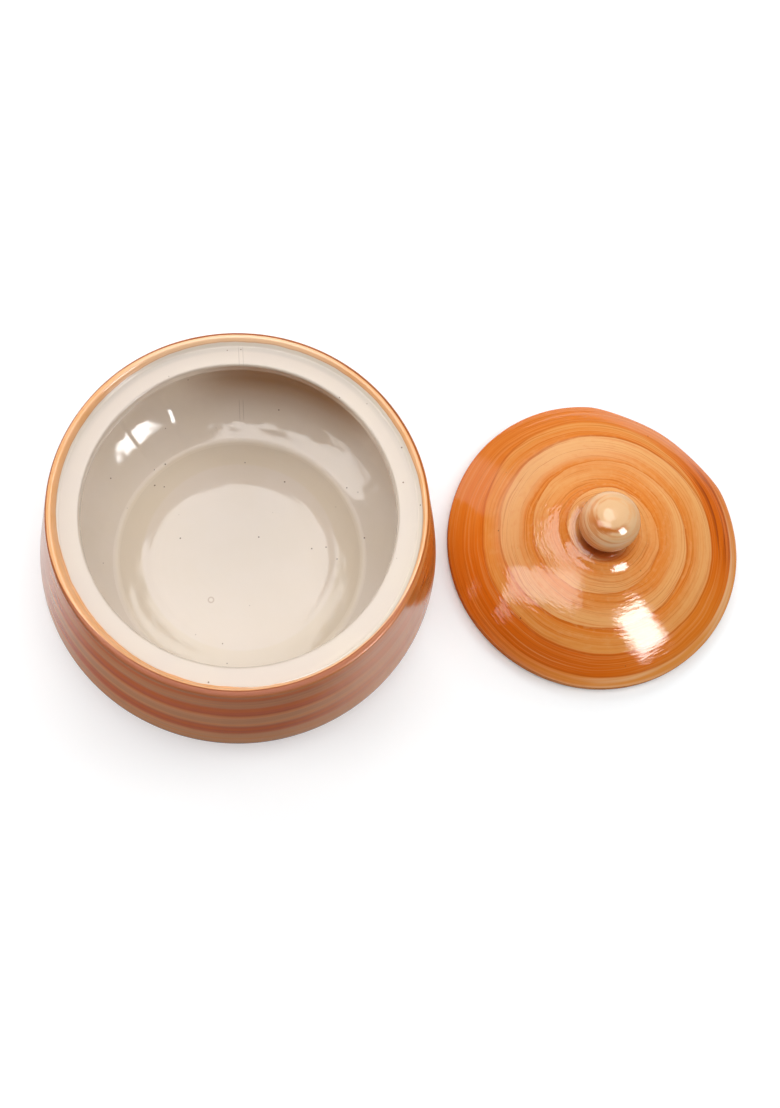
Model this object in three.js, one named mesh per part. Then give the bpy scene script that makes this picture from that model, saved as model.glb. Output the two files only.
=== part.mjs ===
// A low glazed jar with an inner gallery for its lid, and the domed lid laid on the table beside it.
// Millimetres, +Z up. The origin is the centre of the jar's flat base, and the lid lies towards +X.

import * as THREE from 'three';

// Jar, outside
const jarHeight = 78.6;
const footRadius = 62;
const footBevel = 2;
const bellyRadius = 88.6;
const bellyHeight = 22;
const bellyTurn = 4;
const rimRadius = 79.4;
const lipWidth = 4.4;
const lipCrown = 1.4;

// Jar, inside
const jarWall = 6.5;
const floorThickness = 8;
const floorRadius = 56.6;
const floorWallRise = 8;
const galleryDepth = 4.4;
const galleryWidth = 9.1;
const coveWidth = 3.5;
const shelfThickness = 5;
const mouthRounding = 1.2;

// Lid
const lidPlay = 4.9;
const lidEdgeHeight = 4.2;
const lidEdgeRounding = 1;
const lidSeatWidth = 6;
const domeRise = 24.8;
const lidWall = 7;
const tableGap = 8.6;

// Knob
const knobBallRadius = 13;
const knobNeckInset = 2.8;
const knobNeckLength = 1.8;
const knobFootRadius = 13.8;
const knobFootEdge = 0.5;
const knobLandMargin = 0.4;

// Facets
const turnSegments = 60;
const knobSegments = 40;
const longCurveSteps = 8;
const shortCurveSteps = 4;

// Sizes that follow from the ones above
const lipInnerRadius = rimRadius - lipWidth;
const ledgeHeight = jarHeight - galleryDepth;
const mouthRadius = lipInnerRadius - galleryWidth;
const lidRadius = lipInnerRadius - lidPlay;
const lidOffset = bellyRadius + tableGap + lidRadius;
const crownHeight = lidEdgeHeight + domeRise;
const domeRadius = sphereThrough(lidRadius, domeRise);
const domeCentre = crownHeight - domeRadius;
const landRadius = knobFootRadius + knobLandMargin;
const landHeight = domeCentre + Math.sqrt(domeRadius ** 2 - landRadius ** 2);

// The radius of the sphere whose cap is this wide and rises this high.
function sphereThrough(capRadius, capRise) {
  return (capRadius ** 2 + capRise ** 2) / (2 * capRise);
}

// Points along a curve, after its first point, which the outline already has.
function along(curve, steps) {
  return curve.getPoints(steps).slice(1);
}

// An arc about (radius, height), from one angle to another, as outline points after its start.
function arc(radius, height, size, from, to, steps) {
  return along(new THREE.EllipseCurve(radius, height, size, size, from, to, to < from), steps);
}

// A bend that leaves one point towards a corner and reaches another point from that corner.
function bend(start, corner, end, steps) {
  return along(new THREE.QuadraticBezierCurve(start, corner, end), steps);
}

function point(radius, height) {
  return new THREE.Vector2(radius, height);
}

// Turns an outline of radius and height, from the axis back to the axis, about the Z axis.
function turned(name, outline, segments, colour) {
  const geometry = new THREE.LatheGeometry(outline, segments);
  geometry.rotateX(Math.PI / 2);
  const glaze = new THREE.MeshStandardMaterial({ color: colour, roughness: 0.15, metalness: 0 });
  const mesh = new THREE.Mesh(geometry, glaze);
  mesh.name = name;
  return mesh;
}

// Flat base, low belly and a nearly straight wall that leans in to the rim.
function jarOutside() {
  const footEdge = point(footRadius, footBevel);
  const belly = point(bellyRadius, bellyHeight);
  const rim = point(rimRadius, jarHeight - lipCrown);
  const underBelly = point(bellyRadius, footBevel);
  const overBelly = point(bellyRadius, bellyHeight + bellyTurn);
  return [
    point(0, 0),
    point(footRadius - footBevel, 0),
    footEdge,
    ...bend(footEdge, underBelly, belly, longCurveSteps),
    ...bend(belly, overBelly, rim, longCurveSteps),
  ];
}

// Crowned lip, the cove down to the gallery ledge, and the ledge's rounded edge at the mouth.
function jarRim() {
  const lipSide = jarHeight - lipCrown;
  const lipOuter = point(rimRadius, lipSide);
  const lipCrest = point(rimRadius - lipWidth / 2, jarHeight);
  const coveTop = point(lipInnerRadius, lipSide);
  const coveFoot = point(lipInnerRadius - coveWidth, ledgeHeight);
  const edgeTop = point(mouthRadius + mouthRounding, ledgeHeight);
  const edgeSide = point(mouthRadius, ledgeHeight - mouthRounding);
  return [
    ...bend(lipOuter, point(rimRadius, jarHeight), lipCrest, shortCurveSteps),
    ...bend(lipCrest, point(lipInnerRadius, jarHeight), coveTop, shortCurveSteps),
    ...bend(coveTop, point(lipInnerRadius, ledgeHeight), coveFoot, shortCurveSteps),
    edgeTop,
    ...bend(edgeTop, point(mouthRadius, ledgeHeight), edgeSide, shortCurveSteps),
  ];
}

// The wall swells out under the ledge, comes in again below and meets the flat floor at an edge.
function jarInside() {
  const innerBellyRadius = bellyRadius - jarWall;
  const shelfEdge = point(mouthRadius, ledgeHeight - shelfThickness);
  const innerBelly = point(innerBellyRadius, bellyHeight + floorThickness);
  const overInnerBelly = point(innerBellyRadius, (innerBelly.y + shelfEdge.y) / 2);
  const underInnerBelly = point(innerBellyRadius, floorThickness + floorWallRise);
  const floorEdge = point(floorRadius, floorThickness);
  return [
    shelfEdge,
    ...bend(shelfEdge, overInnerBelly, innerBelly, longCurveSteps),
    ...bend(innerBelly, underInnerBelly, floorEdge, longCurveSteps),
    point(0, floorThickness),
  ];
}

// A dome on a flat resting ring, with a short upright edge and a flat land at its crown for the knob.
function lidOutline() {
  const hollowRadius = lidRadius - lidSeatWidth;
  const hollowHeight = crownHeight - lidWall;
  const hollowSphere = sphereThrough(hollowRadius, hollowHeight);
  const hollowCentre = hollowHeight - hollowSphere;
  const hollowLean = Math.atan2(-hollowCentre, hollowRadius);
  const seatEdge = point(lidRadius - lidEdgeRounding, 0);
  const sideFoot = point(lidRadius, lidEdgeRounding);
  const edgeCentre = lidRadius - lidEdgeRounding;
  const edgeTop = domeCentre + Math.sqrt((domeRadius - lidEdgeRounding) ** 2 - edgeCentre ** 2);
  const edgeLean = Math.atan2(edgeTop - domeCentre, edgeCentre);
  const landLean = Math.atan2(landHeight - domeCentre, landRadius);
  return [
    point(0, hollowHeight),
    ...arc(0, hollowCentre, hollowSphere, Math.PI / 2, hollowLean, longCurveSteps),
    seatEdge,
    ...bend(seatEdge, point(lidRadius, 0), sideFoot, shortCurveSteps),
    point(lidRadius, edgeTop),
    ...arc(edgeCentre, edgeTop, lidEdgeRounding, 0, edgeLean, shortCurveSteps),
    ...arc(0, domeCentre, domeRadius, edgeLean, landLean, longCurveSteps),
    point(0, landHeight),
  ];
}

// A ball on a short neck that flares in a cove to a flat foot, standing on the lid's land.
function knobOutline() {
  const neckRadius = knobBallRadius - knobNeckInset;
  const footEdge = point(knobFootRadius, landHeight + knobFootEdge);
  const neckTop = point(neckRadius, footEdge.y + knobNeckLength);
  const neckDrop = Math.sqrt(knobBallRadius ** 2 - neckRadius ** 2);
  const neckLean = -Math.atan2(neckDrop, neckRadius);
  return [
    point(0, landHeight),
    point(knobFootRadius, landHeight),
    footEdge,
    ...bend(footEdge, point(neckRadius, footEdge.y), neckTop, shortCurveSteps),
    ...arc(0, neckTop.y + neckDrop, knobBallRadius, neckLean, Math.PI / 2, longCurveSteps),
  ];
}

const lidAssembly = new THREE.Group();
lidAssembly.position.x = lidOffset;
lidAssembly.add(turned('lid', lidOutline(), turnSegments, 0xd98a45));
lidAssembly.add(turned('lid_knob', knobOutline(), knobSegments, 0xe8c7a0));

const jar = new THREE.Group();
jar.add(turned('jar_body', [...jarOutside(), ...jarRim(), ...jarInside()], turnSegments, 0xd9c4aa));
jar.add(lidAssembly);

export default jar;
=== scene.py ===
"""A low glazed jar with brushed orange bands, and its domed lid laid on the table beside it.

Metres, +Z up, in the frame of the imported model: the jar stands on its base at the origin and the lid lies
towards +X. Each piece is a profile of radius and height, turned about its axis by one Geometry Nodes tree.
"""

import math

import bpy
from mathutils import Matrix, Vector


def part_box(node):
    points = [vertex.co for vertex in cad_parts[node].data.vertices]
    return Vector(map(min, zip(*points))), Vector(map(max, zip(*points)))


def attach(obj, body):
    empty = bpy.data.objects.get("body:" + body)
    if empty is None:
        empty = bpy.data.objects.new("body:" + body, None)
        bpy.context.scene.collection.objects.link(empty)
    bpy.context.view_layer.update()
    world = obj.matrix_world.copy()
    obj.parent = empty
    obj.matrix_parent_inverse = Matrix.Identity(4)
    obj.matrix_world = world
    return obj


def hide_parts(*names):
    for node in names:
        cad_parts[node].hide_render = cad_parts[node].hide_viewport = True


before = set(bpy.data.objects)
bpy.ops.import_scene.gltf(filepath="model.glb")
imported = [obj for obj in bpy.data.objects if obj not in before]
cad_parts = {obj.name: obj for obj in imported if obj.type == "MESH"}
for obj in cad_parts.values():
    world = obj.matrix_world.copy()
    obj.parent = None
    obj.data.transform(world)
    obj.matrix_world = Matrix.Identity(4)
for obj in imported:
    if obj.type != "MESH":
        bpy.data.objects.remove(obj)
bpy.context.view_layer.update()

MM = 0.001
TURN = 2 * math.pi

# Sizes that the frame gives
jar_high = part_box("jar_body")[1]
lid_low, lid_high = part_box("lid")
JAR_HEIGHT = jar_high.z
BELLY_RADIUS = jar_high.x
LID_RADIUS = (lid_high.x - lid_low.x) / 2
LID_X = (lid_high.x + lid_low.x) / 2
LAND_HEIGHT = lid_high.z

# Jar, outside
FOOT_RADIUS = 62 * MM
FOOT_BEVEL = 2 * MM
BELLY_HEIGHT = 22 * MM
BELLY_TURN = 4 * MM
RIM_RADIUS = 79.4 * MM
LIP_WIDTH = 4.4 * MM
LIP_CROWN = 1.4 * MM

# Jar, inside
JAR_WALL = 6.5 * MM
FLOOR_HEIGHT = 7 * MM
FLOOR_DOME = 3.2 * MM
FLOOR_RADIUS = 56.6 * MM
FLOOR_WALL_RISE = 9 * MM
GALLERY_DEPTH = 4.4 * MM
GALLERY_WIDTH = 9.1 * MM
BEVEL_WIDTH = 1.0 * MM
COVE_RISE = 0.4 * MM
COVE_WIDTH = 1.1 * MM
COVE_TURN = 0.35 * COVE_WIDTH
SHELF_THICKNESS = 5 * MM
INNER_BELLY_HEIGHT = 30 * MM
MOUTH_ROUNDING = 1.2 * MM

# Lid
LID_EDGE_HEIGHT = 4.2 * MM
LID_EDGE_ROUNDING = 1 * MM
LID_SEAT_WIDTH = 6 * MM
DOME_RISE = 24.8 * MM
LID_WALL = 7 * MM
ROLLED_EDGE = 4.6 * MM
GROOVE_DEPTH = 0.1 * MM
GROOVE_HALF_WIDTH = 0.8 * MM
COLLAR_RISE = 1.2 * MM
COLLAR_INNER_RADIUS = 17 * MM
COLLAR_OUTER_RADIUS = 22 * MM

# Knob
KNOB_BALL_RADIUS = 13.8 * MM
KNOB_CROWN_RISE = 12.8 * MM
KNOB_FULLNESS = 2.4
KNOB_NECK_INSET = 3.4 * MM
KNOB_NECK_LENGTH = 0.8 * MM
KNOB_LEAN = Vector((-0.8, -0.3, 0)) * MM
KNOB_FOOT_RADIUS = 13.8 * MM
KNOB_FOOT_EDGE = 0.5 * MM

# Sizes that follow from the ones above
LIP_INNER_RADIUS = RIM_RADIUS - LIP_WIDTH
LEDGE_HEIGHT = JAR_HEIGHT - GALLERY_DEPTH
MOUTH_RADIUS = LIP_INNER_RADIUS - GALLERY_WIDTH
INNER_BELLY_RADIUS = BELLY_RADIUS - JAR_WALL
CROWN_HEIGHT = LID_EDGE_HEIGHT + DOME_RISE
GROOVE_RADIUS = LID_RADIUS - ROLLED_EDGE


# Node trees written as expressions

class Field:
    """One output of a node. Arithmetic on it adds Math nodes to its tree."""

    def __init__(self, bench, socket):
        self.bench = bench
        self.socket = socket

    def output(self, name):
        return Field(self.bench, self.socket.node.outputs[name])

    def maths(self, operation, *values):
        return self.bench.node("ShaderNodeMath", {"operation": operation}, dict(enumerate(values)))

    def __add__(self, other):
        return self.maths("ADD", self, other)

    def __radd__(self, other):
        return self.maths("ADD", other, self)

    def __sub__(self, other):
        return self.maths("SUBTRACT", self, other)

    def __rsub__(self, other):
        return self.maths("SUBTRACT", other, self)

    def __mul__(self, other):
        return self.maths("MULTIPLY", self, other)

    def __rmul__(self, other):
        return self.maths("MULTIPLY", other, self)

    def __truediv__(self, other):
        return self.maths("DIVIDE", self, other)

    def __rtruediv__(self, other):
        return self.maths("DIVIDE", other, self)

    def __pow__(self, other):
        return self.maths("POWER", self, other)

    def __abs__(self):
        return self.maths("ABSOLUTE", self)

    def cosine(self):
        return self.maths("COSINE", self)

    def sine(self):
        return self.maths("SINE", self)

    def fraction(self):
        return self.maths("FRACT", self)

    def at_least(self, other):
        return self.maths("MAXIMUM", self, other)

    def rise(self, low, high):
        """0 below low, 1 above high and a smooth step between."""
        settings = {"interpolation_type": "SMOOTHSTEP"}
        inputs = {"Value": self, "From Min": low, "From Max": high}
        return self.bench.node("ShaderNodeMapRange", settings, inputs)

    def band(self, low, high, softness):
        """1 from low to high, with soft ends."""
        half = softness / 2
        return self.rise(low - half, low + half) * (1 - self.rise(high - half, high + half))

    def line(self, place, width):
        """1 at place, falling smoothly to 0 at half a width on either side."""
        return 1 - abs(self - place).rise(0, width / 2)


class Bench:
    """A node tree, with one way to add a node: its type, its settings, then its inputs."""

    def __init__(self, tree):
        self.tree = tree

    def node(self, kind, settings=None, inputs=None):
        node = self.tree.nodes.new(kind)
        for name, value in (settings or {}).items():
            setattr(node, name, value)
        for name, value in (inputs or {}).items():
            self.feed(node.inputs[name], value)
        return Field(self, node.outputs[0]) if node.outputs else node

    def feed(self, socket, value):
        if isinstance(value, Field):
            self.tree.links.new(value.socket, socket)
        else:
            socket.default_value = value

    def combine(self, x, y, z):
        return self.node("ShaderNodeCombineXYZ", inputs={"X": x, "Y": y, "Z": z})

    def vectors(self, operation, *values):
        return self.node("ShaderNodeVectorMath", {"operation": operation}, dict(enumerate(values)))

    def mix(self, share, first, second):
        inputs = {0: share, 6: first, 7: second}
        return self.node("ShaderNodeMix", {"data_type": "RGBA"}, inputs).output(2)

    def noise(self, vector, scale=1.0, detail=2.0, roughness=0.5):
        inputs = {"Vector": vector, "Scale": scale, "Detail": detail, "Roughness": roughness}
        return self.node("ShaderNodeTexNoise", {"noise_dimensions": "3D"}, inputs)


# Profiles

class Profile:
    """An outline of radius and height as points close together, and the distance along it to named places."""

    spacing = 0.9 * MM
    fewest_steps = 6

    def __init__(self, radius, height):
        self.points = [Vector((radius, height))]
        self.marks = {}

    def runs(self):
        """The distance along the outline to each of its points."""
        distances = [0.0]
        for start, end in zip(self.points, self.points[1:]):
            distances.append(distances[-1] + (end - start).length)
        return distances

    def mark(self, name):
        self.marks[name] = self.runs()[-1]

    def steps(self, reach):
        return max(self.fewest_steps, round(reach / self.spacing))

    def bend(self, corner, end):
        """Leaves the last point towards a corner and reaches the end from that corner."""
        start = self.points[-1]
        corner, end = Vector(corner), Vector(end)
        count = self.steps((corner - start).length + (end - corner).length)
        for i in range(1, count + 1):
            t = i / count
            self.points.append(start * (1 - t) ** 2 + corner * (2 * t * (1 - t)) + end * t ** 2)

    def line(self, end):
        self.bend((self.points[-1] + Vector(end)) / 2, end)

    def arc(self, centre, finish):
        """Turns about a centre, from the last point to the angle finish."""
        centre = Vector(centre)
        arm = self.points[-1] - centre
        begin = math.atan2(arm.y, arm.x)
        count = self.steps(arm.length * abs(finish - begin))
        for i in range(1, count + 1):
            angle = begin + (finish - begin) * i / count
            self.points.append(centre + arm.length * Vector((math.cos(angle), math.sin(angle))))

    def mesh(self, name):
        mesh = bpy.data.meshes.new(name)
        corners = [(p.x, 0, p.y) for p in self.points]
        edges = [(i, i + 1) for i in range(len(corners) - 1)]
        mesh.from_pydata(corners, edges, [])
        mesh.attributes.new("run", "FLOAT", "POINT").data.foreach_set("value", self.runs())
        return mesh


def smooth(share):
    """A smooth step from 0 to 1."""
    share = min(max(share, 0), 1)
    return share * share * (3 - 2 * share)


def sphere_through(cap_radius, cap_rise):
    """The radius of the sphere whose cap is this wide and rises this high."""
    return (cap_radius ** 2 + cap_rise ** 2) / (2 * cap_rise)


def jar_profile():
    """Base, belly, wall, lip, gallery and the hollow, from the axis below to the axis above the floor."""
    outline = Profile(0, 0)
    outline.line((FOOT_RADIUS - FOOT_BEVEL, 0))
    outline.mark("foot")
    outline.bend((FOOT_RADIUS - FOOT_BEVEL / 3, 0), (FOOT_RADIUS, FOOT_BEVEL))
    outline.bend((BELLY_RADIUS, FOOT_BEVEL), (BELLY_RADIUS, BELLY_HEIGHT))
    lip_side = JAR_HEIGHT - LIP_CROWN
    outline.bend((BELLY_RADIUS, BELLY_HEIGHT + BELLY_TURN), (RIM_RADIUS, lip_side))
    outline.bend((RIM_RADIUS, JAR_HEIGHT), (RIM_RADIUS - LIP_WIDTH / 2, JAR_HEIGHT))
    outline.mark("lip crest")
    bevel_top = RIM_RADIUS - LIP_WIDTH / 2 - LIP_CROWN
    outline.bend((bevel_top + LIP_CROWN / 2, JAR_HEIGHT), (bevel_top, JAR_HEIGHT - LIP_CROWN))
    bevel_foot = bevel_top - BEVEL_WIDTH
    outline.line((bevel_foot, LEDGE_HEIGHT + COVE_RISE))
    outline.bend((bevel_foot - COVE_TURN, LEDGE_HEIGHT), (bevel_foot - COVE_WIDTH, LEDGE_HEIGHT))
    outline.line((MOUTH_RADIUS + MOUTH_ROUNDING, LEDGE_HEIGHT))
    outline.bend((MOUTH_RADIUS, LEDGE_HEIGHT), (MOUTH_RADIUS, LEDGE_HEIGHT - MOUTH_ROUNDING))
    outline.mark("mouth")
    shelf_foot = LEDGE_HEIGHT - SHELF_THICKNESS
    outline.line((MOUTH_RADIUS, shelf_foot))
    half_way_up = (INNER_BELLY_HEIGHT + shelf_foot) / 2
    outline.bend((INNER_BELLY_RADIUS, half_way_up), (INNER_BELLY_RADIUS, INNER_BELLY_HEIGHT))
    outline.bend((INNER_BELLY_RADIUS, FLOOR_HEIGHT + FLOOR_WALL_RISE), (FLOOR_RADIUS, FLOOR_HEIGHT))
    outline.mark("floor")
    dome = sphere_through(FLOOR_RADIUS, FLOOR_DOME)
    outline.arc((0, FLOOR_HEIGHT + FLOOR_DOME - dome), math.pi / 2)
    return outline


def lid_profile():
    """Hollow underside, flat seat, upright edge, and a dome with a low collar round the knob's land."""
    hollow_radius = LID_RADIUS - LID_SEAT_WIDTH
    hollow_height = CROWN_HEIGHT - LID_WALL
    hollow_sphere = sphere_through(hollow_radius, hollow_height)
    hollow_centre = hollow_height - hollow_sphere
    dome_radius = sphere_through(LID_RADIUS, DOME_RISE)
    dome_centre = CROWN_HEIGHT - dome_radius
    edge_centre = LID_RADIUS - LID_EDGE_ROUNDING
    edge_top = dome_centre + math.sqrt((dome_radius - LID_EDGE_ROUNDING) ** 2 - edge_centre ** 2)
    outline = Profile(0, hollow_height)
    outline.arc((0, hollow_centre), math.atan2(-hollow_centre, hollow_radius))
    outline.mark("hollow edge")
    outline.line((edge_centre, 0))
    outline.mark("seat")
    outline.bend((LID_RADIUS, 0), (LID_RADIUS, LID_EDGE_ROUNDING))
    outline.line((LID_RADIUS, edge_top))
    outline.mark("edge")
    outline.arc((edge_centre, edge_top), math.atan2(edge_top - dome_centre, edge_centre))
    first_of_dome = len(outline.points)
    outline.arc((0, dome_centre), math.acos(KNOB_FOOT_RADIUS / dome_radius))
    collar_slope = COLLAR_OUTER_RADIUS - COLLAR_INNER_RADIUS
    for spot in outline.points[first_of_dome:]:
        spot.y -= GROOVE_DEPTH * math.exp(-((spot.x - GROOVE_RADIUS) / GROOVE_HALF_WIDTH) ** 2)
        spot.y += COLLAR_RISE * smooth((COLLAR_OUTER_RADIUS - spot.x) / collar_slope)
    outline.line((0, LAND_HEIGHT))
    return outline


def knob_profile():
    """A flat foot, a short flared neck and a ball whose upper half is fuller and flatter than a sphere."""
    neck_radius = KNOB_BALL_RADIUS - KNOB_NECK_INSET
    foot_top = LAND_HEIGHT + KNOB_FOOT_EDGE
    neck_top = foot_top + KNOB_NECK_LENGTH
    neck_drop = math.sqrt(KNOB_BALL_RADIUS ** 2 - neck_radius ** 2)
    outline = Profile(0, LAND_HEIGHT)
    outline.line((KNOB_FOOT_RADIUS, LAND_HEIGHT))
    outline.line((KNOB_FOOT_RADIUS, foot_top))
    outline.bend((neck_radius, foot_top), (neck_radius, neck_top))
    outline.mark("neck")
    middle = neck_top + neck_drop
    first_of_ball = len(outline.points)
    outline.arc((0, middle), math.pi / 2)
    for spot in outline.points[first_of_ball:]:
        if spot.y > middle:
            across = spot.x / KNOB_BALL_RADIUS
            up = (spot.y - middle) / KNOB_BALL_RADIUS
            fuller = (across ** KNOB_FULLNESS + up ** KNOB_FULLNESS) ** (-1 / KNOB_FULLNESS)
            spot.x *= fuller
            spot.y = middle + up * fuller * KNOB_CROWN_RISE
    return outline


# Turning on the wheel

TURNING_SIZES = {
    "Steps": "NodeSocketInt",
    "Axis": "NodeSocketVector",
    "Out of round": "NodeSocketFloat",
    "Throwing rings": "NodeSocketFloat",
    "Ring pitch": "NodeSocketFloat",
    "Flat angle": "NodeSocketFloat",
    "Flat width": "NodeSocketFloat",
    "Flat depth": "NodeSocketFloat",
    "Widest": "NodeSocketFloat",
    "Seed": "NodeSocketFloat",
    "Glaze": "NodeSocketMaterial",
}
WOBBLE_SCALE = 1.1
WOBBLE_PER_METRE_UP = 9
WOBBLE_FROM_AXIS = (0, 20 * MM)
FLAT_SHARPNESS = 7
SEAM_REACH = 0.01 * MM
RING_DRIFT = 0.4
RINGS_FROM_AXIS = (3 * MM, 14 * MM)
RINGS_FROM_TABLE = (0.5 * MM, 5 * MM)


def turning_tree():
    """A profile turned about an axis, a little out of round, with throwing rings and a flat in its edge."""
    tree = bpy.data.node_groups.new("turned_on_the_wheel", "GeometryNodeTree")
    tree.interface.new_socket("Profile", in_out="INPUT", socket_type="NodeSocketGeometry")
    for name, kind in TURNING_SIZES.items():
        tree.interface.new_socket(name, in_out="INPUT", socket_type=kind)
    tree.interface.new_socket("Piece", in_out="OUTPUT", socket_type="NodeSocketGeometry")
    bench = Bench(tree)
    given = bench.node("NodeGroupInput")
    profile = given.output("Profile")
    count = bench.node("GeometryNodeAttributeDomainSize", {"component": "MESH"}, {"Geometry": profile})
    sheet_sizes = {
        "Size X": 1.0,
        "Size Y": 1.0,
        "Vertices X": given.output("Steps") + 1,
        "Vertices Y": count,
    }
    sheet = bench.node("GeometryNodeMeshGrid", inputs=sheet_sizes)
    place = bench.node("GeometryNodeInputPosition")
    on_sheet = bench.node("ShaderNodeSeparateXYZ", inputs={"Vector": place})
    angle = (on_sheet.output("X") + 0.5) * TURN
    index = (on_sheet.output("Y") + 0.5) * (count - 1) + 0.5
    run_here = bench.node("GeometryNodeInputNamedAttribute", {"data_type": "FLOAT"}, {"Name": "run"})

    def on_profile(kind, value):
        inputs = {"Geometry": profile, "Value": value, "Index": index}
        return bench.node("GeometryNodeSampleIndex", {"data_type": kind, "clamp": True}, inputs)

    run = on_profile("FLOAT", run_here)
    spot = bench.node("ShaderNodeSeparateXYZ", inputs={"Vector": on_profile("FLOAT_VECTOR", place)})
    radius = spot.output("X")
    height = spot.output("Z")
    east = angle.cosine()
    north = angle.sine()
    around = bench.combine(east, north, height * WOBBLE_PER_METRE_UP + given.output("Seed"))
    wobble = bench.noise(around, scale=WOBBLE_SCALE, detail=1.5) * 2 - 1
    wide = radius / given.output("Widest")
    facing_flat = (angle - given.output("Flat angle")).cosine()
    flat = facing_flat.rise(given.output("Flat width").cosine(), 1.0)
    turned_radius = radius + given.output("Out of round") * wobble * radius.rise(*WOBBLE_FROM_AXIS)
    turned_radius = turned_radius - given.output("Flat depth") * flat * wide ** FLAT_SHARPNESS
    turned = bench.combine(turned_radius * east, turned_radius * north, height)
    stored = bench.node("GeometryNodeStoreNamedAttribute", {"data_type": "FLOAT", "domain": "POINT"},
                        {"Geometry": sheet, "Name": "run", "Value": run})
    rounded = bench.node("GeometryNodeSetPosition", inputs={"Geometry": stored, "Position": turned})
    closed = bench.node("GeometryNodeMergeByDistance", inputs={"Geometry": rounded, "Distance": SEAM_REACH})
    here = bench.node("ShaderNodeSeparateXYZ", inputs={"Vector": place})
    from_axis = (here.output("X") ** 2 + here.output("Y") ** 2) ** 0.5
    safe = from_axis.at_least(MM)
    run_kept = bench.node("GeometryNodeInputNamedAttribute", {"data_type": "FLOAT"}, {"Name": "run"})
    along_run = run_kept / given.output("Ring pitch") + given.output("Seed")
    drift_x = here.output("X") / safe * RING_DRIFT
    drift_y = here.output("Y") / safe * RING_DRIFT
    along = bench.combine(drift_x, drift_y, along_run)
    ring = bench.noise(along) * 2 - 1
    reach = from_axis.rise(*RINGS_FROM_AXIS) * here.output("Z").rise(*RINGS_FROM_TABLE)
    swell = ring * given.output("Throwing rings") * reach
    normal = bench.node("GeometryNodeInputNormal")
    offset = bench.node("ShaderNodeVectorMath", {"operation": "SCALE"}, {0: normal, "Scale": swell})
    ringed = bench.node("GeometryNodeSetPosition", inputs={"Geometry": closed, "Offset": offset})
    in_place = {"Geometry": ringed, "Translation": given.output("Axis")}
    placed = bench.node("GeometryNodeTransform", inputs=in_place)
    shaded = bench.node("GeometryNodeSetShadeSmooth", inputs={"Geometry": placed})
    realized = bench.node("GeometryNodeRealizeInstances", inputs={"Geometry": shaded})
    finish = {"Geometry": realized, "Material": given.output("Glaze")}
    glazed = bench.node("GeometryNodeSetMaterial", inputs=finish)
    bench.node("NodeGroupOutput", inputs={"Piece": glazed})
    return tree


def turn_piece(name, profile, tree, sizes):
    """The turned piece as a plain mesh object at the origin, with its place in its mesh."""
    blank = bpy.data.objects.new(name + "_profile", profile.mesh(name + "_profile"))
    bpy.context.scene.collection.objects.link(blank)
    wheel = blank.modifiers.new("wheel", "NODES")
    wheel.node_group = tree
    for item in tree.interface.items_tree:
        if item.in_out == "INPUT" and item.name in sizes:
            wheel[item.identifier] = sizes[item.name]
    evaluated = blank.evaluated_get(bpy.context.evaluated_depsgraph_get())
    mesh = bpy.data.meshes.new_from_object(evaluated)
    mesh.name = name
    bpy.data.objects.remove(blank)
    piece = bpy.data.objects.new(name, mesh)
    bpy.context.scene.collection.objects.link(piece)
    return piece


# Glazes

def linear(red, green, blue):
    """A colour as it shows on a screen, 0 to 255, as the linear colour that a shader takes."""
    def channel(level):
        share = level / 255
        return share / 12.92 if share <= 0.04045 else ((share + 0.055) / 1.055) ** 2.4
    return channel(red), channel(green), channel(blue), 1.0


DEEP_ORANGE = linear(216, 103, 13)
RICH_ORANGE = linear(224, 124, 36)
ORANGE = linear(226, 136, 57)
PEACH = linear(229, 150, 72)
PALE_PEACH = linear(234, 169, 103)
LIGHT_PEACH = linear(240, 192, 140)
BRUSH_LINE = linear(188, 84, 15)
BROWN_SMEAR = linear(150, 58, 10)
BAND_RED = linear(198, 76, 8)
BAND_PEACH = linear(217, 150, 102)
BAND_BROWN = linear(176, 96, 58)
LIP_PEACH = linear(238, 179, 128)
LIP_PALE = linear(255, 215, 175)
LIP_LINE = linear(150, 70, 18)
CREAM = linear(203, 188, 174)
INNER_CREAM = linear(231, 219, 206)
BEVEL_CREAM = linear(240, 228, 215)
COVE_SHADE = linear(182, 170, 158)
POOLED_CREAM = linear(222, 207, 176)
DARK_BROWN_CREAM = linear(143, 90, 22)
BARE_CLAY = linear(196, 150, 116)
PALE_CLAY = linear(212, 170, 136)
SPECK = linear(96, 62, 40)
KNOB_PALE = linear(231, 187, 140)
KNOB_TAN = linear(232, 176, 122)
KNOB_BROWN = linear(196, 110, 44)
KNOB_NECK_BROWN_AND_SHADE = linear(158, 62, 6)
WHITE = (1, 1, 1, 1)

GLAZE_IOR = 1.52
GLAZE_ROUGHNESS = 0.07
CLAY_ROUGHNESS = 0.75

# Roughness that is added to the glaze's own
UNEVEN_ROUGHNESS = 0.03
GALLERY_ROUGHNESS = 0.05
CORNER_ROUGHNESS = 0.4
UNDER_LIP_ROUGHNESS = 0.45

# Heights in the glaze
RIDGE_PITCH = 1.2 * MM
RIDGE_SWEEP = 10.0
SWELL_SIZE = 13 * MM
JAR_RIDGES = 0.012 * MM
JAR_SWELL = 0.16 * MM
LID_RIDGES = 0.08 * MM
LID_SWELL = 0.14 * MM
KNOB_RIDGES = 0.02 * MM
KNOB_SWELL = 0.05 * MM
WALL_DENTS = 0.3 * MM
FINGER_MARK = 0.27 * MM


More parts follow.
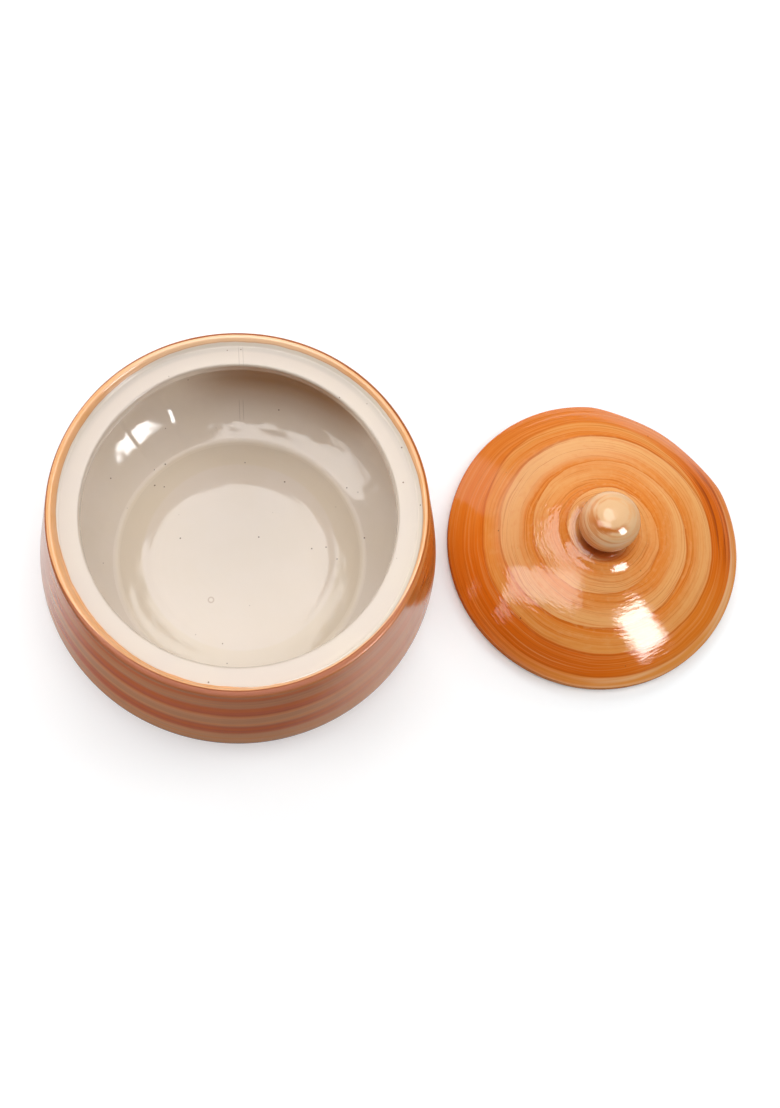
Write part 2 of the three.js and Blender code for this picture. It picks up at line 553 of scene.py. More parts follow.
class Glaze(Bench):
    """A material for a turned piece: paint and glaze by radius, height and angle about the piece's axis.

    Angles are in degrees from +X, so that 90 is the back and 270 the front.
    """

    axis_guard = 0.2 * MM
    speck_heart = 0.45
    sharp = 0.01

    def __init__(self, name, axis_x=0.0):
        self.material = bpy.data.materials.new(name)
        self.material.use_nodes = True
        self.material.node_tree.nodes.clear()
        super().__init__(self.material.node_tree)
        coordinates = self.node("ShaderNodeTexCoord").output("Object")
        mapping = {"Vector": coordinates, "Location": (-axis_x, 0, 0)}
        self.place = self.node("ShaderNodeMapping", {"vector_type": "POINT"}, mapping)
        parts = self.node("ShaderNodeSeparateXYZ", inputs={"Vector": self.place})
        self.x = parts.output("X")
        self.y = parts.output("Y")
        self.z = parts.output("Z")
        self.radius = self.distance_from(0, 0)
        safe = self.radius.at_least(self.axis_guard)
        self.east = self.x / safe
        self.north = self.y / safe
        self.run = self.node("ShaderNodeAttribute", {"attribute_name": "run"}).output("Fac")

    def distance_from(self, x, y):
        return ((self.x - x) ** 2 + (self.y - y) ** 2) ** 0.5

    def facing(self, degrees, within):
        """1 where the surface lies in this direction from the axis, and 0 from so many degrees away."""
        angle = math.radians(degrees)
        towards = self.east * math.cos(angle) + self.north * math.sin(angle)
        return towards.rise(math.cos(math.radians(within)), 1.0)

    def streaks(self, across, pitch, sweep, seed=0.0, detail=2.0):
        """Brush streaks that follow the turning: fine across, and slow to change round the axis."""
        vector = self.combine(self.east * sweep, self.north * sweep, across / pitch + seed)
        return self.noise(vector, detail=detail)

    def patches(self, size, seed=0.0, detail=2.0):
        """Soft patches of about this size."""
        shifted = self.vectors("ADD", self.place, (seed, seed, seed))
        return self.noise(shifted, scale=1 / size, detail=detail)

    def specks(self, spacing, size, share, seed):
        """Dark pinholes in the glaze: a share of the cells of a Voronoi texture have one at their heart."""
        shifted = self.vectors("ADD", self.place, (seed, seed, seed))
        inputs = {"Vector": shifted, "Scale": 1 / spacing}
        cells = self.node("ShaderNodeTexVoronoi", {"feature": "F1"}, inputs)
        choice = self.node("ShaderNodeSeparateColor", inputs={"Color": cells.output("Color")})
        reach = size / spacing
        near = 1 - cells.output("Distance").rise(self.speck_heart * reach, reach)
        return near * choice.output("Red").rise(1 - share, 1 - share + self.sharp)

    def coats(self, under, *coats):
        """A colour brushed over with coats, each a paint, where it lies and its strength there."""
        for paint, mask, strength in coats:
            under = self.mix(mask * strength, under, paint)
        return under

    def relief(self, across, ridges, swell):
        """Ridges of this height left by the turning, and a slow swell in the glaze."""
        turned = self.streaks(across, RIDGE_PITCH, RIDGE_SWEEP, seed=3.0, detail=1.0) * ridges
        return turned + self.patches(SWELL_SIZE, seed=1.0, detail=1.0) * swell

    def fire(self, colour, roughness, relief):
        """The shader: colour, roughness and a height in metres for the bump."""
        bump = self.node("ShaderNodeBump", inputs={"Strength": 1.0, "Distance": 1.0, "Height": relief})
        inputs = {"Base Color": colour, "Roughness": roughness, "Normal": bump, "IOR": GLAZE_IOR}
        shader = self.node("ShaderNodeBsdfPrincipled", inputs=inputs)
        self.node("ShaderNodeOutputMaterial", inputs={"Surface": shader})
        return self.material


# Jar paint: dark bands, each from, to, softness and strength, and thin strokes, each a height and a width
DARK_BANDS = [
    (55.5 * MM, 65.3 * MM, 3.4 * MM, 1.0),
    (35 * MM, 44 * MM, 4 * MM, 1.0),
    (72.5 * MM, 75.5 * MM, 1.2 * MM, 0.7),
    (4 * MM, 20 * MM, 3 * MM, 0.8),
]
DARK_STROKES = [(57.5 * MM, 2.6 * MM), (63.5 * MM, 2.6 * MM), (39 * MM, 3 * MM)]
BAND_WANDER = 2.4 * MM
BROWN_SHOULDER = (64 * MM, 73 * MM)

# The lip's peach stroke: its edges past the crest, and how they shift round the jar
LIP_OUTER_EDGE = -0.9 * MM
LIP_INNER_EDGE = 2.6 * MM
LIP_RAGGEDNESS = 1.2 * MM
LIP_INWARDS_AT_FRONT = 1.8 * MM
LIP_OUTWARDS_AT_LEFT = 0.6 * MM
LIP_WIDER_AT_FRONT = 3.0 * MM
LIP_WIDER_AT_LEFT = 1.0 * MM
LIP_NARROWER_AT_RIGHT = 1.2 * MM

# Marks in the cream glaze
FLOOR_PIT = (-14.4 * MM, -20.7 * MM)
FLOOR_PIT_RADIUS = 1.2 * MM
HAIRLINES = [2.4 * MM, 4.2 * MM]
HAIRLINE_WIDTH = 0.5 * MM


def jar_bands(glaze):
    """Orange and peach bands brushed round the outside, with streaks along the brush, and the side facing the
    lid painted more orange as a painted reflection of the lid.
    """
    wander = (glaze.streaks(glaze.z, pitch=60 * MM, sweep=1.6, seed=7.0) - 0.5) * BAND_WANDER
    level = glaze.z + wander
    streak = glaze.streaks(glaze.z, pitch=2.2 * MM, sweep=0.5, seed=11.0, detail=3.0)
    dark = sum(level.band(low, high, softness) * strength for low, high, softness, strength in DARK_BANDS)
    strokes = sum(level.line(height, width) for height, width in DARK_STROKES)
    return glaze.coats(
        BAND_PEACH,
        (BAND_BROWN, level.rise(*BROWN_SHOULDER), 0.55),
        (BAND_RED, dark * (0.85 + 0.7 * (streak - 0.5)), 1.0),
        (BRUSH_LINE, strokes, 0.5),
        (RICH_ORANGE, streak.rise(0.47, 0.62), 0.35),
        (BROWN_SMEAR, (1 - streak).rise(0.48, 0.64), 0.25),
        # Painted reflection: the side facing the lid is painted more orange, as if the lid showed in the
        # glaze there
        (ORANGE, glaze.facing(338, within=60), 0.6),
    )


def lip_edges(glaze, from_crest):
    """How far a point lies past the outer and past the inner edge of the lip's peach stroke."""
    ragged = (glaze.streaks(glaze.z, pitch=8 * MM, sweep=9.0, seed=2.0) - 0.5) * LIP_RAGGEDNESS
    at_left = glaze.facing(165, within=65)
    past_outer = from_crest - LIP_OUTER_EDGE + ragged * 0.3
    past_outer = past_outer - glaze.facing(275, within=85) * LIP_INWARDS_AT_FRONT
    past_outer = past_outer + at_left * LIP_OUTWARDS_AT_LEFT
    past_inner = from_crest - LIP_INNER_EDGE + ragged
    past_inner = past_inner - glaze.facing(240, within=75) * LIP_WIDER_AT_FRONT
    past_inner = past_inner + glaze.facing(335, within=50) * LIP_NARROWER_AT_RIGHT
    past_inner = past_inner - at_left * LIP_WIDER_AT_LEFT
    return past_outer, past_inner


def jar_lip(glaze, past_inner):
    """The peach stroke, paler at the back and at the front right, with a brown line along its inner edge."""
    cloud = glaze.patches(9 * MM, seed=4.0).rise(0.35, 0.75)
    pale_sides = glaze.facing(92, within=45).at_least(glaze.facing(315, within=32))
    return glaze.coats(
        LIP_PEACH,
        (PALE_PEACH, cloud, 0.5),
        (LIP_PALE, pale_sides, 0.7),
        (LIP_LINE, past_inner.line(-0.3 * MM, 0.8 * MM), 0.3),
    )


def jar_cream(glaze, marks, from_crest, inside):
    """Cream glaze over the gallery and the hollow, with painted shade in the cove at the back, glaze pooling
    and painted shade in a darker ring round the floor, and a brown patch low on the back wall.
    """
    # Painted shade: the cove below the lip's inner bevel is painted grey at the back, where it lies in shade
    cove = from_crest.band(5.4 * MM, 7.4 * MM, softness=1.6 * MM) * glaze.facing(85, within=95)
    # A dark brown patch on the back of the inner wall, fading out low down towards the floor
    back_brown_patch = glaze.facing(70, within=42).at_least(glaze.facing(40, within=40) * 0.4)
    back_brown_patch = back_brown_patch * glaze.z.rise(10 * MM, 26 * MM) * inside
    hairlines = sum(glaze.x.line(x, HAIRLINE_WIDTH) for x in HAIRLINES)
    # Partly glaze pooling at the floor's edge, partly painted shade: a darker ring where the reflection on
    # the floor doesn't reach
    pooled_and_shaded = glaze.run.band(marks["floor"] - 0.5 * MM, marks["floor"] + 12 * MM, softness=1.5 * MM)
    on_floor = 1 - glaze.z.rise(15 * MM, 16 * MM)
    return glaze.coats(
        CREAM,
        (BEVEL_CREAM, from_crest.band(2 * MM, 5.4 * MM, softness=1 * MM), 1.0),
        (COVE_SHADE, cove, 0.55),
        (INNER_CREAM, inside, 1.0),
        (POOLED_CREAM, pooled_and_shaded, 0.3),
        (POOLED_CREAM, glaze.patches(22 * MM, seed=9.0).rise(0.3, 0.75), 0.15),
        (DARK_BROWN_CREAM, back_brown_patch, 0.88),
        (SPECK, glaze.specks(spacing=6 * MM, size=0.5 * MM, share=0.35, seed=5.0), 0.85),
        (SPECK, hairlines * glaze.y.band(66 * MM, 74 * MM, softness=2 * MM), 0.3),
        (DARK_BROWN_CREAM, glaze.distance_from(*FLOOR_PIT).line(FLOOR_PIT_RADIUS, 1.1 * MM) * on_floor, 0.35),
    )


def jar_relief(glaze, marks, inside):
    """The turned ridges and the swell, dents in the inner wall, and the mark of a finger low on its left."""
    wall = glaze.run.band(marks["mouth"] + 10 * MM, marks["floor"] - 5 * MM, softness=6 * MM)
    dents = wall * glaze.patches(9 * MM, seed=21.0, detail=1.0) * WALL_DENTS
    low_wall = inside * glaze.radius.rise(60 * MM, 66 * MM) * (1 - glaze.z.rise(21 * MM, 27 * MM))
    finger = glaze.facing(121.75, within=11).rise(0.17, 0.63) * low_wall * FINGER_MARK
    return glaze.relief(glaze.run, JAR_RIDGES, JAR_SWELL) + dents + finger


def jar_glaze(marks):
    """Orange bands brushed on the outside, a peach lip, cream glaze inside and a bare foot."""
    glaze = Glaze("jar_glaze")
    from_crest = glaze.run - marks["lip crest"]
    past_outer, past_inner = lip_edges(glaze, from_crest)
    inside = glaze.run.rise(marks["mouth"] - 1 * MM, marks["mouth"] + 0.6 * MM)
    # Painted shade: the dark line under the lip is painted darker round the front, where its rounding lies in
    # shade; its roughness is raised there too
    under_lip_shade = past_outer.line(-1.5 * MM, 4.4 * MM) * glaze.facing(262, within=90)
    bands = glaze.coats(
        jar_bands(glaze),
        (LIP_LINE, under_lip_shade, 0.95),
        (LIP_LINE, past_outer.line(-0.5 * MM, 1.2 * MM), 0.8),
    )
    bare = 1 - glaze.run.rise(marks["foot"] - 0.6 * MM, marks["foot"] + 1.4 * MM)
    clay = glaze.mix(glaze.patches(4 * MM, seed=6.0, detail=4.0), BARE_CLAY, PALE_CLAY)
    colour = glaze.coats(
        jar_cream(glaze, marks, from_crest, inside),
        (jar_lip(glaze, past_inner), 1 - past_inner.rise(-0.3 * MM, 0.3 * MM), 1.0),
        (bands, 1 - past_outer.rise(-0.2 * MM, 0.2 * MM), 1.0),
        (clay, bare, 1.0),
    )
    gallery = glaze.run.band(marks["lip crest"], marks["mouth"], softness=1 * MM)
    corner = glaze.run.band(marks["floor"] - 1.6 * MM, marks["floor"] + 1.6 * MM, softness=0.8 * MM)
    roughness = GLAZE_ROUGHNESS + bare * (CLAY_ROUGHNESS - GLAZE_ROUGHNESS)
    roughness = roughness + glaze.patches(18 * MM, seed=12.0) * UNEVEN_ROUGHNESS
    roughness = roughness + gallery * GALLERY_ROUGHNESS
    roughness = roughness + corner * CORNER_ROUGHNESS
    roughness = roughness + under_lip_shade * UNDER_LIP_ROUGHNESS
    return glaze.fire(colour, roughness, jar_relief(glaze, marks, inside))


# Lid paint: one brush stroke that winds in to the knob
SPIRAL_CENTRE = (-0.3 * MM, -1.5 * MM)
SPIRAL_START = 54.4 * MM
SPIRAL_PITCH = 14.7 * MM
FIRST_ROUND_LEAD = 5.5 * MM
NARROWEST_ROUND = 3 * MM
SPIRAL_WANDER = 1.8 * MM
ROUND_PAINT_FADE = (0.1, 0.95)
KNOB_FOOT_SHADE_REACH = (14.5 * MM, 18 * MM)


def lid_stroke(glaze, radius, broad):
    """The winding stroke: inner rounds, a middle round and a dark outer round, with brushed lines between."""
    angle = glaze.node("ShaderNodeMath", {"operation": "ARCTAN2"}, {0: glaze.y, 1: glaze.x})
    turn = (angle / TURN).fraction()
    spiral_edge = SPIRAL_START - turn * SPIRAL_PITCH
    winding = (spiral_edge - radius) / SPIRAL_PITCH
    across = winding.fraction()
    lead = turn.rise(0.0, 0.24) * (1 - turn.rise(0.28, 0.5))
    first_edge = SPIRAL_START + lead * FIRST_ROUND_LEAD
    uneven = (broad - 0.5) * 0.8

    inner = glaze.mix((across + uneven).rise(*ROUND_PAINT_FADE), PALE_PEACH, ORANGE)
    inner = glaze.coats(inner, (BRUSH_LINE, across.line(1.0, 0.16), 0.5))

    middle_share = (first_edge - radius) / (first_edge - spiral_edge).at_least(NARROWEST_ROUND)
    ending = turn.rise(0.72, 0.98)
    pale_side = glaze.mix(ending, PEACH, PALE_PEACH)
    rich_side = glaze.mix(ending, RICH_ORANGE, ORANGE)
    middle = glaze.mix((middle_share + uneven).rise(*ROUND_PAINT_FADE), pale_side, rich_side)

    strong = glaze.facing(232, within=75).at_least(glaze.facing(8, within=46))
    first_line = (radius - first_edge).line(0.6 * MM, 1.6 * MM) * turn.rise(0.2, 0.4)
    outer = glaze.coats(
        RICH_ORANGE,
        (DEEP_ORANGE, strong * (0.75 + broad * 0.5), 1.0),
        (BRUSH_LINE, first_line, 0.6),
    )
    return glaze.coats(
        middle,
        (outer, (radius - first_edge).rise(-0.5 * MM, 0.5 * MM), 1.0),
        (BRUSH_LINE, (radius - spiral_edge).line(0.5 * MM, 1.8 * MM), 0.6),
        (inner, winding.rise(-0.02, 0.02), 1.0),
    )


def lid_brushwork(glaze, stroke, radius, broad):
    """Streaks, mottling, a paler zone towards the back that is painted light, warmer zones, a brown smear,
    and painted shade where the lid meets the knob.
    """
    fine = glaze.streaks(radius, pitch=0.8 * MM, sweep=0.9, seed=1.0, detail=3.0)
    hair = glaze.streaks(radius, pitch=0.5 * MM, sweep=0.8, seed=6.0)
    mottle = glaze.streaks(radius, pitch=2 * MM, sweep=12.0, seed=7.0, detail=4.0)
    inner_rounds = 1 - radius.rise(50 * MM, 58 * MM)
    warm_sides = glaze.facing(185, within=60).at_least(glaze.facing(345, within=80))
    warm_zone = radius.band(20 * MM, 33 * MM, softness=8 * MM) * warm_sides
    warm_back = radius.band(30 * MM, 37 * MM, softness=4 * MM) * glaze.facing(85, within=60)
    smear = radius.band(58 * MM, 66 * MM, softness=3 * MM) * glaze.facing(10, within=30)
    # Painted shade where the lid meets the knob, darkest on the front left under the ball
    knob_foot_shade = (1 - glaze.radius.rise(*KNOB_FOOT_SHADE_REACH)) * (0.2 + 0.8 * glaze.facing(248, within=75))
    return glaze.coats(
        stroke,
        (PALE_PEACH, fine.rise(0.5, 0.72), 0.35),
        (DEEP_ORANGE, (1 - fine).rise(0.5, 0.72), 0.45),
        # Painted light: the rounds towards the back, lit more from behind, are painted paler
        (LIGHT_PEACH, radius.band(38 * MM, 50 * MM, softness=6 * MM) * glaze.facing(130, within=90), 0.45),
        (RICH_ORANGE, warm_zone.at_least(warm_back), 0.4),
        (PALE_PEACH, mottle.rise(0.5, 0.7) * inner_rounds, 0.3),
        (DEEP_ORANGE, (1 - mottle).rise(0.52, 0.7), 0.12),
        (BRUSH_LINE, hair.rise(0.56, 0.66), 0.4),
        (PALE_PEACH, (1 - hair).rise(0.58, 0.68), 0.3),
        (BROWN_SMEAR, smear * broad.rise(0.45, 0.6), 0.8),
        (KNOB_NECK_BROWN_AND_SHADE, knob_foot_shade, 0.9),
    )


def lid_glaze(marks):
    """The winding stroke on top, a rolled edge painted paler on its front and right as a painted reflection,
    cream glaze in the hollow and a bare seat.
    """
    glaze = Glaze("lid_glaze", axis_x=LID_X)
    wander = (glaze.streaks(glaze.radius, pitch=40 * MM, sweep=2.2, seed=5.0) - 0.5) * SPIRAL_WANDER
    radius = glaze.distance_from(*SPIRAL_CENTRE) + wander
    broad = glaze.streaks(radius, pitch=2.6 * MM, sweep=0.9, seed=8.0)
    # Painted reflection: the rolled edge is painted paler on its front and right, where it mirrors the bright
    # table
    rolled = (glaze.radius + wander * 0.3).rise(GROOVE_RADIUS, GROOVE_RADIUS + 0.9 * MM)
    rolled_sheen_colour = glaze.mix(broad.rise(0.35, 0.65), PEACH, LIGHT_PEACH)
    groove = glaze.radius.line(GROOVE_RADIUS, 1.2 * MM)
    painted = glaze.coats(
        lid_brushwork(glaze, lid_stroke(glaze, radius, broad), radius, broad),
        (rolled_sheen_colour, rolled * glaze.facing(305, within=100), 0.85),
        (BRUSH_LINE, groove * glaze.facing(260, within=80), 0.5),
        (SPECK, glaze.specks(spacing=8 * MM, size=0.45 * MM, share=0.3, seed=2.0), 0.85),
    )
    seat = glaze.run.band(marks["hollow edge"], marks["seat"], softness=0.6 * MM)
    colour = glaze.coats(
        glaze.mix(glaze.patches(12 * MM, seed=3.0), CREAM, INNER_CREAM),
        (painted, glaze.run.rise(marks["seat"] + 0.6 * MM, marks["seat"] + 1.4 * MM), 1.0),
        (BRUSH_LINE, (glaze.run - marks["edge"]).line(0.2 * MM, 1 * MM), 0.7),
        (BARE_CLAY, seat, 1.0),
    )
    roughness = GLAZE_ROUGHNESS + seat * (CLAY_ROUGHNESS - GLAZE_ROUGHNESS)
    roughness = roughness + glaze.patches(15 * MM, seed=12.0) * UNEVEN_ROUGHNESS
    return glaze.fire(colour, roughness, glaze.relief(radius, LID_RIDGES, LID_SWELL))


# Knob paint: a pale cap on the crown, and brown, part glaze pooling and part painted shade, that climbs the
# front left from the neck
CAP_CENTRE = (-2.2 * MM, -0.4 * MM)
CAP_EDGE = (6.4 * MM, 7.6 * MM)
CAP_RAGGEDNESS = 4 * MM
BROWN_CLIMB = 5 * MM


def knob_glaze(marks):
    """Thin peach glaze, pale on the crown, and brown round the neck from glaze pooling and painted shade,
    darkest under the ball on the front left.
    """
    glaze = Glaze("knob_glaze", axis_x=LID_X)
    streak = glaze.streaks(glaze.z, pitch=0.9 * MM, sweep=0.8, seed=4.0)
    cloud = glaze.patches(6 * MM, seed=2.0, detail=3.0)
    from_cap = glaze.distance_from(*CAP_CENTRE) + (cloud - 0.5) * CAP_RAGGEDNESS
    up = glaze.run - marks["neck"]
    # Partly painted shade: the lower front left of the knob, under the ball, painted brown
    low = (1 - up.rise(5 * MM, 17 * MM)) * glaze.facing(218, within=115)
    # Brown round the neck, partly glaze pooling and partly painted shade, climbing highest on the front left
    pooled_and_shaded = 1 - (up - glaze.facing(225, within=100) * BROWN_CLIMB).rise(0.3 * MM, 3.5 * MM)
    colour = glaze.coats(
        KNOB_TAN,
        (KNOB_PALE, streak.rise(0.42, 0.62), 1.0),
        (KNOB_BROWN, (1 - streak).rise(0.48, 0.58) * glaze.facing(195, within=100), 0.45),
        (KNOB_PALE, 1 - from_cap.rise(*CAP_EDGE), 1.0),
        (KNOB_BROWN, low, 0.75),
        (KNOB_BROWN, from_cap.line(8 * MM, 4 * MM) * glaze.facing(238, within=80), 0.9),
        (KNOB_NECK_BROWN_AND_SHADE, pooled_and_shaded, 1.0),
        (ORANGE, 1 - up.rise(-2.5 * MM, -1 * MM), 1.0),
        (SPECK, glaze.specks(spacing=9 * MM, size=0.4 * MM, share=0.3, seed=3.0), 0.8),
    )
    roughness = GLAZE_ROUGHNESS + cloud * UNEVEN_ROUGHNESS
    return glaze.fire(colour, roughness, glaze.relief(glaze.z, KNOB_RIDGES, KNOB_SWELL))


# Stage

CAMERA_PLACE = (-5.3 * MM, -183.3 * MM, 632.9 * MM)
CAMERA_LENS_MM = 45.66
CAMERA_SENSOR_MM = 36.0
CAMERA_PITCH = math.radians(72.6)
CAMERA_HEADING = math.radians(22.32)
CAMERA_ROLL = math.radians(18.96)


def make_camera():
    """A camera at the photograph's place and angle."""
    data = bpy.data.cameras.new("camera")
    data.sensor_fit = "AUTO"
    data.sensor_width = CAMERA_SENSOR_MM
    data.lens = CAMERA_LENS_MM
    camera = bpy.data.objects.new("camera", data)
    bpy.context.scene.collection.objects.link(camera)
    turn = Matrix.Rotation(-CAMERA_HEADING, 4, "Z")
    tilt = Matrix.Rotation(math.pi / 2 - CAMERA_PITCH, 4, "X")
    roll = Matrix.Rotation(CAMERA_ROLL, 4, "Z")
    camera.matrix_world = Matrix.Translation(CAMERA_PLACE) @ turn @ tilt @ roll
    bpy.context.scene.camera = camera


FLOOR_REACH = 6.0
FLOOR_DROP = 0.2 * MM

# The table as it lights the pieces, and as the glaze mirrors it: pale behind, with painted shade in front and
# to the right, and painted shade tinted with the lid's orange beside the lid
TABLE_GREY = (0.6, 0.6, 0.6, 1)
TABLE_PALE = (0.8, 0.8, 0.8, 1)
TABLE_SHADE = (0.2, 0.2, 0.2, 1)
TABLE_SHADE_BY_LID = (0.5, 0.17, 0.05, 1)
TOWARDS_FRONT = (-0.33, -0.94)
DARK_FRONT = (0.04, 0.10)
DARK_RIGHT = (0.22, 0.28)
LID_SHADE_REACH = (0.074, 0.078)

# The table as the camera sees it: it glows white in part and fully far away, but not in front of the lid,
# where the missing glow deepens the lid's shadow as painted shade
TABLE_WHITE = (0.97, 0.99, 1, 1)
TABLE_GLOW = 1.3
NEAR_GLOW_SHARE = 0.25
LID_SHADE_CENTRE = (0.163, -0.011)
LID_SHADE_EDGE = (66 * MM, 86 * MM)
FAR_AWAY = (0.3, 0.9)


def make_floor():
    """A plain white table that keeps the pieces' shadows, with painted shade in what the glaze mirrors and
    less glow in front of the lid as a painted shadow.
    """
    mesh = bpy.data.meshes.new("floor")
    sides = [(-1, -1), (1, -1), (1, 1), (-1, 1)]
    corners = [(x * FLOOR_REACH, y * FLOOR_REACH, -FLOOR_DROP) for x, y in sides]
    mesh.from_pydata(corners, [], [(0, 1, 2, 3)])
    floor = bpy.data.objects.new("floor", mesh)
    bpy.context.scene.collection.objects.link(floor)
    material = bpy.data.materials.new("white_table")
    material.use_nodes = True
    material.node_tree.nodes.clear()
    bench = Bench(material.node_tree)
    path = bench.node("ShaderNodeLightPath")
    mirrored = path.output("Is Glossy Ray").at_least(path.output("Is Transmission Ray"))
    spot = bench.node("ShaderNodeSeparateXYZ", inputs={"Vector": bench.node("ShaderNodeNewGeometry")})
    x = spot.output("X")
    y = spot.output("Y")

    def distance_from(from_x, from_y):
        return ((x - from_x) ** 2 + (y - from_y) ** 2) ** 0.5

    forward = x * TOWARDS_FRONT[0] + y * TOWARDS_FRONT[1]
    # Painted shade on the table as the glaze mirrors it: dark in front and to the right, and orange beside
    # the lid
    dim = forward.rise(*DARK_FRONT).at_least(x.rise(*DARK_RIGHT))
    reflected = bench.mix(dim, TABLE_PALE, TABLE_SHADE)
    reflected = bench.mix(1 - distance_from(LID_X, 0).rise(*LID_SHADE_REACH), reflected, TABLE_SHADE_BY_LID)
    in_mirrors = bench.node("ShaderNodeBsdfDiffuse", inputs={"Color": reflected})
    grey = bench.node("ShaderNodeBsdfDiffuse", inputs={"Color": TABLE_GREY})
    unseen = bench.node("ShaderNodeMixShader", inputs={0: mirrored, 1: grey, 2: in_mirrors})

    white = bench.node("ShaderNodeBsdfDiffuse", inputs={"Color": TABLE_WHITE})
    glow = bench.node("ShaderNodeEmission", inputs={"Color": WHITE, "Strength": TABLE_GLOW})
    # Painted shadow: no glow in front of the lid, so the table there shows darker
    lid_shadow_glow_share = NEAR_GLOW_SHARE * distance_from(*LID_SHADE_CENTRE).rise(*LID_SHADE_EDGE)
    far_share = (1 - NEAR_GLOW_SHARE) * distance_from(0, 0).rise(*FAR_AWAY)
    lifted = bench.node("ShaderNodeMixShader", inputs={0: lid_shadow_glow_share + far_share, 1: white, 2: glow})
    table = bench.node("ShaderNodeMixShader", inputs={0: path.output("Is Camera Ray"), 1: unseen, 2: lifted})
    bench.node("ShaderNodeOutputMaterial", inputs={"Surface": table})
    mesh.materials.append(material)


def area_light(name, place, aim, size, radiance, soft=0.3, spin=0.0, rounded=False):
    """A soft box facing the point aim, turned by spin degrees, that dims over a share of its size.

    The share counts in from its edges.
    """
    data = bpy.data.lights.new(name, "AREA")
    data.shape = "RECTANGLE"
    data.size, data.size_y = size
    data.energy = radiance * math.pi * size[0] * size[1]
    data.use_nodes = True
    data.node_tree.nodes.clear()
    bench = Bench(data.node_tree)
    across = bench.node("ShaderNodeNewGeometry").output("Parametric")
    parts = bench.node("ShaderNodeSeparateXYZ", inputs={"Vector": across})
    from_middle_x = abs(parts.output("X") - 0.5)
    from_middle_y = abs(parts.output("Y") - 0.5)
    edge = (0.5 - soft, 0.5)
    if rounded:
        evenness = 1 - ((from_middle_x ** 2 + from_middle_y ** 2) ** 0.5).rise(*edge)
    else:
        evenness = (1 - from_middle_x.rise(*edge)) * (1 - from_middle_y.rise(*edge))
    glow = bench.node("ShaderNodeEmission", inputs={"Color": WHITE, "Strength": evenness})
    bench.node("ShaderNodeOutputLight", inputs={"Surface": glow})
    light = bpy.data.objects.new(name, data)
    bpy.context.scene.collection.objects.link(light)
    direction = Vector(aim) - Vector(place)
    turn = direction.to_track_quat("-Z", "Y").to_matrix().to_4x4()
    light.matrix_world = Matrix.Translation(place) @ turn @ Matrix.Rotation(math.radians(spin), 4, "Z")
    light.visible_camera = False
    return light


# Even light from all round, which the glaze doesn't mirror: name, place, size and radiance
BETWEEN_PIECES = (0.08, 0, 0)
FILLS = [
    ("top_fill", (0.08, 0, 1.2), (1.4, 1.4), 2.75),
    ("back_fill", (0.08, 1.1, 0.8), (1.8, 0.8), 3.4),
    ("front_fill", (0, -1.0, 0.9), (1.6, 0.8), 1.2),
    ("right_fill", (1.0, 0.1, 0.75), (0.8, 0.8), 3.7),
    ("left_fill", (-0.95, 0, 0.6), (0.8, 0.8), 4.3),
]

# Soft boxes that show only as reflections in the glaze
FRONT_OF_LID = (0.2, -0.04, 0.02)
MIRRORED_BOXES = [
    {"name": "round_scrim", "place": (0, 0.78, 3.0), "aim": (0, 0.78, 0), "size": (1.72, 1.9),
     "radiance": 4.25, "soft": 0.05, "rounded": True},
    {"name": "front_panel", "place": (-0.35, -0.22, 1.0), "aim": (-0.35, -0.22, 0), "size": (1.1, 0.44),
     "radiance": 4.75, "soft": 0.12, "spin": -8},
    {"name": "left_panel", "place": (-0.88, -0.36, 1.0), "aim": (-0.88, -0.36, 0), "size": (0.3, 0.66),
     "radiance": 3.0, "soft": 0.12, "spin": 18},
    {"name": "strip_box", "place": (0.5, -0.37, 0.436), "aim": FRONT_OF_LID, "size": (0.265, 0.416),
     "radiance": 20, "soft": 0.25},
]


def make_lights():
    for name, place, size, radiance in FILLS:
        area_light(name, place, BETWEEN_PIECES, size, radiance).visible_glossy = False
    for box in MIRRORED_BOXES:
        area_light(**box).visible_diffuse = False


# Strength of the room round the pieces, and the directions in which its wall begins, turns paler and ends
ROOM_LIGHT = 0.05
WALL_LIGHT = 0.25
LEFT_WALL_LIGHT = 0.9
WALL_BEHIND = (0.59, 0.64)
WALL_LEFT = (0.4, 0.5)
WALL_TOP = (0.45, 0.8)


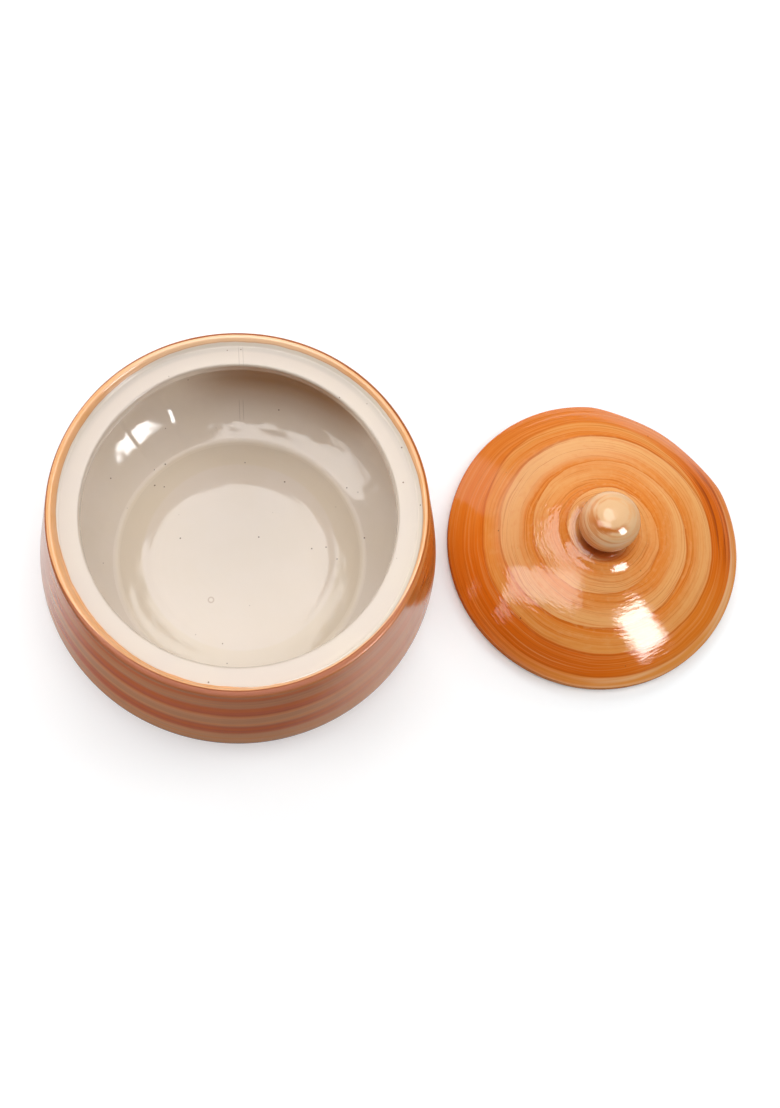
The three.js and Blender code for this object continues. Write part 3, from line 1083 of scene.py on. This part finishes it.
def make_world():
    """White to the camera. For the light on the pieces, a pale wall behind and a dim room elsewhere."""
    world = bpy.data.worlds.new("studio")
    bpy.context.scene.world = world
    world.use_nodes = True
    world.node_tree.nodes.clear()
    bench = Bench(world.node_tree)
    direction = bench.node("ShaderNodeTexCoord").output("Generated")
    parts = bench.node("ShaderNodeSeparateXYZ", inputs={"Vector": direction})
    level_part = (parts.output("X") ** 2 + parts.output("Y") ** 2) ** 0.5
    safe_level = level_part.at_least(0.01)
    behind = (parts.output("Y") / safe_level).rise(*WALL_BEHIND)
    to_left = (parts.output("X") / safe_level * -1).rise(*WALL_LEFT)
    low = 1 - parts.output("Z").rise(*WALL_TOP)
    strength = ROOM_LIGHT + behind * low * (WALL_LIGHT - ROOM_LIGHT + to_left * LEFT_WALL_LIGHT)
    seen = bench.node("ShaderNodeLightPath").output("Is Camera Ray")
    level = seen + (1 - seen) * strength
    background = bench.node("ShaderNodeBackground", inputs={"Color": WHITE, "Strength": level})
    bench.node("ShaderNodeOutputWorld", inputs={"Surface": background})


make_camera()
make_floor()
make_lights()
make_world()

# The pieces
wheel = turning_tree()
jar_outline = jar_profile()
jar = turn_piece("glazed_jar", jar_outline, wheel, {
    "Steps": 240,
    "Out of round": 0.3 * MM,
    "Throwing rings": 0.12 * MM,
    "Ring pitch": 7 * MM,
    "Widest": BELLY_RADIUS,
    "Seed": 3.0,
    "Glaze": jar_glaze(jar_outline.marks),
})
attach(jar, "jar")
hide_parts("jar_body")

lid_outline = lid_profile()
lid = turn_piece("domed_lid", lid_outline, wheel, {
    "Steps": 300,
    "Axis": (LID_X, 0, 0),
    "Out of round": 0.5 * MM,
    "Throwing rings": 0.08 * MM,
    "Ring pitch": 6 * MM,
    "Flat angle": math.radians(52),
    "Flat width": math.radians(34),
    "Flat depth": 2.6 * MM,
    "Widest": LID_RADIUS,
    "Seed": 8.0,
    "Glaze": lid_glaze(lid_outline.marks),
})
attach(lid, "lid")
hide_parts("lid")

knob_outline = knob_profile()
knob = turn_piece("ball_knob", knob_outline, wheel, {
    "Steps": 120,
    "Axis": (LID_X + KNOB_LEAN.x, KNOB_LEAN.y, 0),
    "Out of round": 0.25 * MM,
    "Throwing rings": 0.05 * MM,
    "Ring pitch": 3 * MM,
    "Widest": KNOB_FOOT_RADIUS,
    "Seed": 5.0,
    "Glaze": knob_glaze(knob_outline.marks),
})
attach(knob, "lid")
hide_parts("lid_knob")

bpy.context.scene.view_settings.view_transform = "Standard"
